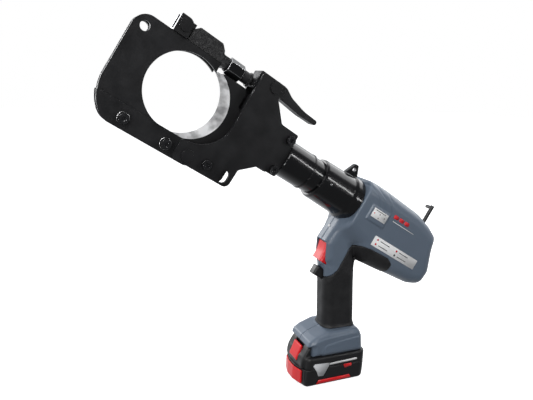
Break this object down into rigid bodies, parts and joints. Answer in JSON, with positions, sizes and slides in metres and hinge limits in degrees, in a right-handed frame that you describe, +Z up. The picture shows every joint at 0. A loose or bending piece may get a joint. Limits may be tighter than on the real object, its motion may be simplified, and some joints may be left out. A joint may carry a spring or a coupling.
{
  "type": "battery hydraulic cable cutter",
  "caption": "Pistol-form battery hydraulic cutter with a swivelling flip-open guillotine head, sliding crescent blade and slide-off battery pack.",
  "frame": {"origin": "middle of the battery pack's flat base", "axes": "+Z up, +X towards the cutting head, +Y the tool's left side; the barrel rises 30.7 degrees above +X"},
  "size_m": [0.5519, 0.075, 0.5574],
  "materials": {
    "black_steel": "satin black oxide with bright worn edges",
    "blade_steel": "ground bevel",
    "cast_black": "rough black casting",
    "zinc_steel": "zinc plated",
    "machined_steel": "turned",
    "barrel_black": "gloss black",
    "aluminium": "machined",
    "brass": "plain",
    "core_laminate": "laminated core",
    "seal_rubber": "plain",
    "grip_rubber": "fine texture",
    "grey_plastic": "satin blue-grey",
    "red_plastic": "satin red",
    "dark_plastic": "satin",
    "board_green": "solder mask",
    "cell_wrap": "shrink wrap"
  },
  "bodies": {
    "body": {"housing_left": "grey_plastic", "housing_right": "grey_plastic", "housing_screws": "zinc_steel", "rubber_grip": "grip_rubber", "swivel_collar": "barrel_black", "strap_lug": "barrel_black", "pump_block": "aluminium", "pump_plunger": "machined_steel", "relief_valve": "brass", "gearbox_case": "aluminium", "motor_can": "aluminium", "oil_reservoir": "seal_rubber", "control_board": "board_green", "switch_module": "dark_plastic", "terminal_block": "dark_plastic"},
    "hook": {"tail_hook": "barrel_black"},
    "trigger": {"trigger": "red_plastic"},
    "release_button": {"release_button": "dark_plastic"},
    "rotor": {"rotor_shaft": "machined_steel", "rotor_core": "core_laminate", "drive_pinion": "machined_steel"},
    "eccentric": {"eccentric_shaft": "machined_steel", "drive_gear": "machined_steel"},
    "battery": {"battery_case": "dark_plastic", "battery_lid": "dark_plastic", "battery_cells": "cell_wrap", "battery_bumper": "red_plastic"},
    "battery_button": {"battery_button": "red_plastic"},
    "head": {"cheek_left": "black_steel", "cheek_right": "black_steel", "cheek_screws": "zinc_steel", "cheek_nuts": "zinc_steel", "hinge_pin": "black_steel", "lever_pin": "black_steel", "blade_guides": "black_steel", "cylinder_flange": "machined_steel", "cylinder_tube": "barrel_black", "retaining_ring": "barrel_black"},
    "lever": {"lever": "black_steel"},
    "ram": {"blade": "blade_steel", "blade_pin": "machined_steel", "piston_rod": "machined_steel", "piston": "machined_steel", "piston_seal": "seal_rubber"},
    "jaw": {"jaw_plate_left": "black_steel", "jaw_plate_right": "black_steel", "strap_plate_left": "black_steel", "strap_plate_right": "black_steel", "jaw_spacers": "black_steel", "jaw_screws": "zinc_steel", "jaw_nuts": "zinc_steel", "jaw_washers": "zinc_steel", "latch_block": "black_steel", "latch_pin": "black_steel"},
    "latch": {"latch_arm": "cast_black", "latch_rod": "machined_steel", "latch_nut": "machined_steel", "latch_tab": "black_steel"}
  },
  "joints": [
    {"name": "head_swivel", "type": "hinge", "parent": "body", "child": "head", "pos_m": [0.04813, 0, 0.34187], "axis": [0.8599, 0, 0.5105], "continuous": true},
    {"name": "jaw_hinge", "type": "hinge", "parent": "head", "child": "jaw", "pos_m": [0.24175, 0, 0.37717], "axis": [0, 1, 0], "range_deg": [0, 90]},
    {"name": "latch_pivot", "type": "hinge", "parent": "jaw", "child": "latch", "pos_m": [0.24251, 0, 0.54335], "axis": [0, 1, 0], "range_deg": [0, 95]},
    {"name": "lever_pivot", "type": "hinge", "parent": "head", "child": "lever", "pos_m": [0.11708, 0, 0.46864], "axis": [0, 1, 0], "range_deg": [0, 110]},
    {"name": "ram_slide", "type": "slide", "parent": "head", "child": "ram", "axis": [0.8599, 0, 0.5105], "range_m": [0, 0.107], "stiffness_N_per_m": 150, "springref_m": -0.1},
    {"name": "trigger_press", "type": "slide", "parent": "body", "child": "trigger", "axis": [-0.8599, 0, -0.5105], "range_m": [0, 0.006], "stiffness_N_per_m": 1200, "springref_m": -0.003},
    {"name": "release_press", "type": "slide", "parent": "body", "child": "release_button", "axis": [-0.8599, 0, -0.5105], "range_m": [0, 0.004], "stiffness_N_per_m": 1200, "springref_m": -0.003},
    {"name": "hook_swivel", "type": "hinge", "parent": "body", "child": "hook", "pos_m": [-0.18462, 0, 0.26183], "axis": [-0.5105, 0, 0.8599], "range_deg": [-90, 90]},
    {"name": "rotor_spin", "type": "hinge", "parent": "body", "child": "rotor", "pos_m": [-0.10298, 0, 0.22424], "axis": [0.8599, 0, 0.5105], "continuous": true},
    {"name": "eccentric_spin", "type": "hinge", "parent": "body", "child": "eccentric", "pos_m": [-0.07225, 0, 0.2704], "axis": [0.8599, 0, 0.5105], "continuous": true},
    {"name": "battery_slide", "type": "slide", "parent": "body", "child": "battery", "axis": [1, 0, 0], "range_m": [0, 0.06]},
    {"name": "battery_button_press", "type": "slide", "parent": "battery", "child": "battery_button", "axis": [-1, 0, 0], "range_m": [0, 0.004], "stiffness_N_per_m": 1200, "springref_m": -0.003}
  ],
  "couplings": [
    {"joint": "eccentric_spin", "follows": "rotor_spin", "ratio": -0.33333}
  ]
}
